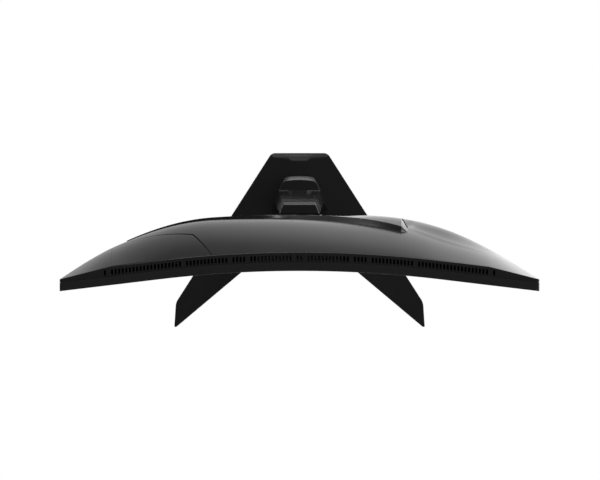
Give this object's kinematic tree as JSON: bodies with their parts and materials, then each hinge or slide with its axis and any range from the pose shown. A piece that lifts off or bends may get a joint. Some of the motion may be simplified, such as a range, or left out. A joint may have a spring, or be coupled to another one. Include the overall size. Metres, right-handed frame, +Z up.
{
  "type": "computer monitor",
  "caption": "Curved desktop monitor on a fixed-height tilting stand with an A-shaped base, a cable hole in its column and a stick control at the back.",
  "frame": {"origin": "on the desk surface, under the middle of the whole monitor's box", "axes": "+Z up; the screen faces -Y; +X is to the right of a user who sits in front of the screen"},
  "size_m": [0.6116, 0.23, 0.458],
  "materials": {
    "housing_plastic": "fine moulded texture, satin black",
    "trim_plastic": "smooth satin black",
    "stand_plastic": "fine moulded texture, black",
    "base_paint": "fine textured black paint",
    "screen_glass": "dark anti-glare panel",
    "optical_film": "clear and white film",
    "bare_steel": "zinc-plated sheet",
    "black_steel": "black oxide",
    "board": "solder-masked board",
    "rubber_black": "soft black rubber",
    "cable_jacket": "flat cable",
    "light_pipe": "frosted clear",
    "contact_plastic": "black moulded"
  },
  "bodies": {
    "stand": {"neck_rear_shell": "stand_plastic", "neck_front_cover": "stand_plastic", "neck_core": "bare_steel", "cable_grommet": "rubber_black", "base_cover": "base_paint", "base_steel": "black_steel", "rubber_foot_1": "rubber_black", "rubber_foot_2": "rubber_black", "rubber_foot_3": "rubber_black", "rubber_foot_4": "rubber_black", "rubber_foot_5": "rubber_black", "rubber_foot_6": "rubber_black", "neck_bracket": "bare_steel", "hinge_shaft": "bare_steel", "hinge_nut": "bare_steel", "disc_spring_left": "bare_steel", "disc_spring_right": "bare_steel"},
    "screen": {"rear_cover": "housing_plastic", "front_bezel": "housing_plastic", "chin_strip": "housing_plastic", "wing_panel_left": "housing_plastic", "wing_panel_right": "housing_plastic", "port_bay": "housing_plastic", "hump_panel": "trim_plastic", "lcd_panel": "screen_glass", "optical_sheets": "optical_film", "light_guide": "optical_film", "backlight_chassis": "bare_steel", "vesa_bracket": "bare_steel", "board_shield": "bare_steel", "hinge_plate": "bare_steel", "hdmi_socket_1": "bare_steel", "hdmi_socket_2": "bare_steel", "displayport_socket": "bare_steel", "vesa_screw_1": "black_steel", "vesa_screw_2": "black_steel", "vesa_screw_3": "black_steel", "vesa_screw_4": "black_steel", "panel_driver_board": "board", "main_board": "board", "power_board": "board", "led_strip": "board", "panel_cable": "cable_jacket", "led_cable": "cable_jacket", "power_led_lens": "light_pipe", "audio_socket": "contact_plastic", "dc_inlet": "contact_plastic", "joystick_switch": "contact_plastic", "power_switch": "contact_plastic"},
    "joystick_ring": {"joystick_ring": "bare_steel"},
    "joystick_stem": {"joystick_stem": "bare_steel"},
    "joystick_cap": {"joystick_cap": "trim_plastic"},
    "power_button": {"power_button": "trim_plastic"},
    "thumb_screw": {"thumb_screw": "bare_steel"}
  },
  "joints": [
    {"name": "screen_tilt", "type": "hinge", "parent": "stand", "child": "screen", "pos_m": [0, 0.02399, 0.275], "axis": [-1, 0, 0], "range_deg": [-5, 20]},
    {"name": "joystick_up_down", "type": "hinge", "parent": "screen", "child": "joystick_ring", "pos_m": [0.226, -0.02347, 0.15], "axis": [1, 0, 0], "range_deg": [-8, 8], "stiffness_Nm_per_rad": 0.1},
    {"name": "joystick_left_right", "type": "hinge", "parent": "joystick_ring", "child": "joystick_stem", "pos_m": [0.226, -0.02347, 0.15], "axis": [0, 0, 1], "range_deg": [-8, 8], "stiffness_Nm_per_rad": 0.1},
    {"name": "joystick_press", "type": "slide", "parent": "joystick_stem", "child": "joystick_cap", "axis": [0, -1, 0], "range_m": [0, 0.0005], "stiffness_N_per_m": 1500},
    {"name": "power_press", "type": "slide", "parent": "screen", "child": "power_button", "axis": [0, 0, 1], "range_m": [0, 0.0006], "stiffness_N_per_m": 1000},
    {"name": "thumb_screw_turn", "type": "hinge", "parent": "stand", "child": "thumb_screw", "pos_m": [0, 0.07, 0.01], "axis": [0, 0, 1], "continuous": true}
  ]
}
